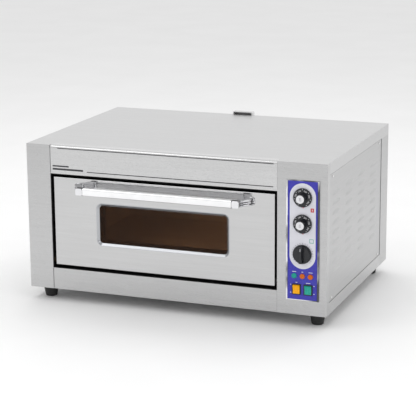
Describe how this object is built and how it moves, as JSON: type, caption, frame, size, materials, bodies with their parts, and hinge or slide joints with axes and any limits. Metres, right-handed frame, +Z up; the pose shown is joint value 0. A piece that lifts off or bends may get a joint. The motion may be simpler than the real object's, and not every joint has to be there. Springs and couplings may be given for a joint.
{
  "type": "deck oven",
  "caption": "Single-deck electric baking oven with a drop-down glazed door, dial and rocker controls, side louvres and a rear steam vent.",
  "frame": {"origin": "on the table under the centre of the overall size", "axes": "+X to the right seen from the front, the door faces -Y, +Z up"},
  "size_m": [0.9236, 0.718, 0.482],
  "materials": {
    "casing_steel": "satin",
    "top_steel": "satin",
    "door_steel": "gloss",
    "black_enamel": "satin",
    "gasket": "matte",
    "aluminised_steel": "matte",
    "deck_steel": "matte",
    "element_sheath": "matte",
    "mineral_wool": "matte",
    "galvanised_steel": "satin",
    "lamp_ceramic": "matte",
    "clear_glass": "polished",
    "amber_glass": "polished",
    "control_body": "matte",
    "panel_chrome": "polished",
    "panel_blue": "gloss",
    "dial_silver": "satin",
    "lens_green": "gloss",
    "lens_orange": "gloss",
    "black_plastic": "satin",
    "terminal_plastic": "matte",
    "gland_plastic": "matte",
    "foot_rubber": "matte",
    "screw_steel": "gloss",
    "bushing_brass": "satin",
    "spring_steel": "satin",
    "bezel_steel": "polished",
    "handle_chrome": "polished",
    "knob_black": "gloss",
    "spindle_steel": "satin",
    "rocker_amber": "gloss",
    "rocker_green": "gloss"
  },
  "bodies": {
    "cabinet": {"base_pan": "casing_steel", "left_upright": "casing_steel", "right_upright": "casing_steel", "rear_uprights": "casing_steel", "top_cover": "top_steel", "left_side_panel": "casing_steel", "right_side_panel": "casing_steel", "back_panel": "casing_steel", "upper_fascia": "casing_steel", "lower_fascia": "casing_steel", "mouth_frame": "black_enamel", "mouth_gasket": "gasket", "chamber_liner": "aluminised_steel", "deck_plates": "deck_steel", "upper_heating_elements": "element_sheath", "lower_heating_elements": "element_sheath", "insulation_top": "mineral_wool", "insulation_bottom": "mineral_wool", "insulation_left": "mineral_wool", "insulation_right": "mineral_wool", "insulation_back": "mineral_wool", "compartment_divider": "galvanised_steel", "lamp_holder": "lamp_ceramic", "lamp_glass": "clear_glass", "thermostat_upper": "control_body", "thermostat_lower": "control_body", "timer_mechanism": "control_body", "sensor_tubes": "element_sheath", "control_plate": "panel_chrome", "panel_overlay": "panel_blue", "dial_plate": "dial_silver", "pilot_lamp_green": "lens_green", "pilot_lamps_orange": "lens_orange", "switch_housings": "black_plastic", "terminal_block": "terminal_plastic", "cable_gland": "gland_plastic", "steam_duct": "casing_steel", "steam_pipe": "casing_steel", "feet": "foot_rubber", "casing_screws": "screw_steel", "hinge_bushings": "bushing_brass", "hinge_springs": "spring_steel"},
    "door": {"door_skin": "door_steel", "door_liner": "door_steel", "door_insulation": "mineral_wool", "door_glass_outer": "amber_glass", "door_glass_inner": "clear_glass", "window_bezel": "bezel_steel", "window_spacer": "black_enamel", "handle_bar": "handle_chrome", "handle_arms": "handle_chrome", "hinge_pins": "spring_steel"},
    "upper_heat_control": {"knob_upper_heat": "knob_black", "shaft_upper_heat": "spindle_steel"},
    "lower_heat_control": {"knob_lower_heat": "knob_black", "shaft_lower_heat": "spindle_steel"},
    "timer_control": {"knob_timer": "knob_black", "shaft_timer": "spindle_steel"},
    "lamp_switch": {"rocker_lamp": "rocker_amber"},
    "power_switch": {"rocker_power": "rocker_green"}
  },
  "joints": [
    {"name": "door_hinge", "type": "hinge", "parent": "cabinet", "child": "door", "pos_m": [-0.0345, -0.287, 0.124], "axis": [1, 0, 0], "range_deg": [0, 90]},
    {"name": "upper_heat_turn", "type": "hinge", "parent": "cabinet", "child": "upper_heat_control", "pos_m": [0.39, -0.306, 0.376], "axis": [0, 1, 0], "range_deg": [0, 290]},
    {"name": "lower_heat_turn", "type": "hinge", "parent": "cabinet", "child": "lower_heat_control", "pos_m": [0.39, -0.306, 0.3015], "axis": [0, 1, 0], "range_deg": [0, 290]},
    {"name": "timer_turn", "type": "hinge", "parent": "cabinet", "child": "timer_control", "pos_m": [0.39, -0.306, 0.215], "axis": [0, 1, 0], "range_deg": [0, 300]},
    {"name": "lamp_rocker", "type": "hinge", "parent": "cabinet", "child": "lamp_switch", "pos_m": [0.373, -0.30775, 0.1125], "axis": [-1, 0, 0], "range_deg": [0, 14]},
    {"name": "power_rocker", "type": "hinge", "parent": "cabinet", "child": "power_switch", "pos_m": [0.407, -0.30775, 0.1125], "axis": [-1, 0, 0], "range_deg": [0, 14]}
  ]
}
